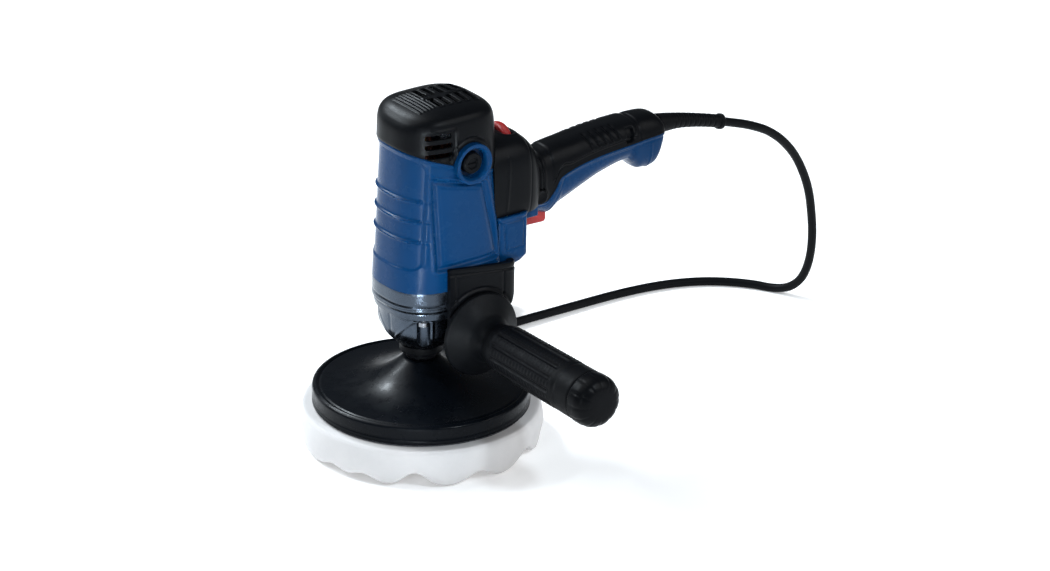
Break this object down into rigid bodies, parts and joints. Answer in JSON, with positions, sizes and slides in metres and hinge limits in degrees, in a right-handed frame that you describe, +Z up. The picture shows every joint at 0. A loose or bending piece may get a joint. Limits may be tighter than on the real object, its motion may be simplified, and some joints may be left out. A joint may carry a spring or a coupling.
{
  "type": "rotary polisher",
  "caption": "Mains rotary polisher: upright motor over a flat foam pad, rear handle with trigger, side handle, geared spindle that turns with the motor.",
  "frame": {"origin": "on the spindle axis, in the plane that the foam pad's underside stands on", "axes": "+Z up along the spindle, +X towards the rear handle, -Y towards the side handle"},
  "size_m": [0.535, 0.5334, 0.3027],
  "materials": {
    "blue_plastic": "moulded, satin",
    "black_plastic": "moulded, fine grain",
    "black_rubber": "soft grip, matt",
    "red_plastic": "moulded, satin",
    "cast_alloy": "die cast, bead blasted",
    "steel": "turned and ground",
    "laminated_steel": "stacked sheets",
    "copper": "enamelled wire and turned copper",
    "brass": "drawn",
    "carbon": "pressed carbon",
    "circuit_board": "varnished board",
    "capacitor_film": "moulded case",
    "pad_rubber": "moulded, semi-gloss",
    "hook_fabric": "hook and loop",
    "white_foam": "open-cell foam, waffled underside"
  },
  "bodies": {
    "housing": {"motor_housing": "blue_plastic", "top_cover": "black_plastic", "rear_housing": "blue_plastic", "shoulder_cover": "black_plastic", "handle_upper_shell": "black_plastic", "handle_lower_shell": "blue_plastic", "handle_screws": "steel", "gear_housing": "cast_alloy", "gear_flange": "cast_alloy", "gear_head_screws": "steel", "gear_head_cover": "black_plastic", "spindle_lower_bearing": "steel", "spindle_upper_bearing": "steel", "spindle_seal": "black_rubber", "middle_lower_bearing": "steel", "middle_upper_bearing": "steel", "motor_lower_bearing": "steel", "motor_upper_bearing": "steel", "stator_core": "laminated_steel", "field_coils": "copper", "air_baffle": "black_plastic", "brush_holder_left": "brass", "brush_holder_right": "brass", "carbon_brush_left": "carbon", "carbon_brush_right": "carbon", "brush_cap_left": "black_plastic", "brush_cap_right": "black_plastic", "control_board": "circuit_board", "noise_capacitor": "capacitor_film", "switch_module": "black_plastic", "cord_clamp": "black_plastic", "cord_boot": "black_rubber", "power_cord": "black_rubber", "cord_coil": "black_rubber", "cord_tie": "black_plastic", "plug_body": "black_rubber", "plug_pins": "brass", "side_handle_stud": "steel", "side_handle_grip": "black_rubber", "side_handle_end": "black_plastic", "spindle_lock_spring": "steel"},
    "spindle_set": {"spindle": "steel", "spindle_gear": "steel", "spindle_ring": "steel", "spindle_collar": "black_plastic", "pad_hub": "steel", "backing_pad": "pad_rubber", "hook_disc": "hook_fabric", "foam_pad": "white_foam"},
    "middle_set": {"middle_shaft": "steel", "middle_gear": "steel"},
    "armature": {"armature_shaft": "steel", "armature_core": "laminated_steel", "armature_windings": "copper", "commutator": "copper", "cooling_fan": "black_plastic"},
    "trigger": {"trigger": "red_plastic"},
    "lock_on_button": {"lock_on_button": "black_plastic"},
    "speed_wheel": {"speed_wheel": "red_plastic"},
    "spindle_lock": {"spindle_lock_button": "black_plastic"}
  },
  "joints": [
    {"name": "spindle_spin", "type": "hinge", "parent": "housing", "child": "spindle_set", "pos_m": [0, 0, 0.0975], "axis": [0, 0, 1], "continuous": true},
    {"name": "middle_spin", "type": "hinge", "parent": "housing", "child": "middle_set", "pos_m": [0.01959, 0.0184, 0.0995], "axis": [0, 0, 1], "continuous": true},
    {"name": "motor_spin", "type": "hinge", "parent": "housing", "child": "armature", "pos_m": [0.021, 0, 0.147], "axis": [0, 0, 1], "continuous": true},
    {"name": "trigger_pull", "type": "hinge", "parent": "housing", "child": "trigger", "pos_m": [0.091, 0, 0.187], "axis": [0, -1, 0], "range_deg": [0, 7], "stiffness_Nm_per_rad": 0.6, "springref_deg": -14.32},
    {"name": "lock_on_press", "type": "slide", "parent": "housing", "child": "lock_on_button", "axis": [0, 1, 0], "range_m": [0, 0.0035], "stiffness_N_per_m": 300, "springref_m": -0.002},
    {"name": "speed_wheel_turn", "type": "hinge", "parent": "housing", "child": "speed_wheel", "pos_m": [0.0768, 0, 0.2476], "axis": [1, 0, 0], "range_deg": [-135, 135]},
    {"name": "spindle_lock_press", "type": "slide", "parent": "housing", "child": "spindle_lock", "axis": [0, -1, 0], "range_m": [0, 0.005], "stiffness_N_per_m": 400, "springref_m": -0.002, "deforming": ["spindle_lock_spring"]}
  ],
  "couplings": [
    {"joint": "middle_spin", "follows": "spindle_spin", "ratio": -3.3},
    {"joint": "motor_spin", "follows": "spindle_spin", "ratio": 13.613}
  ]
}
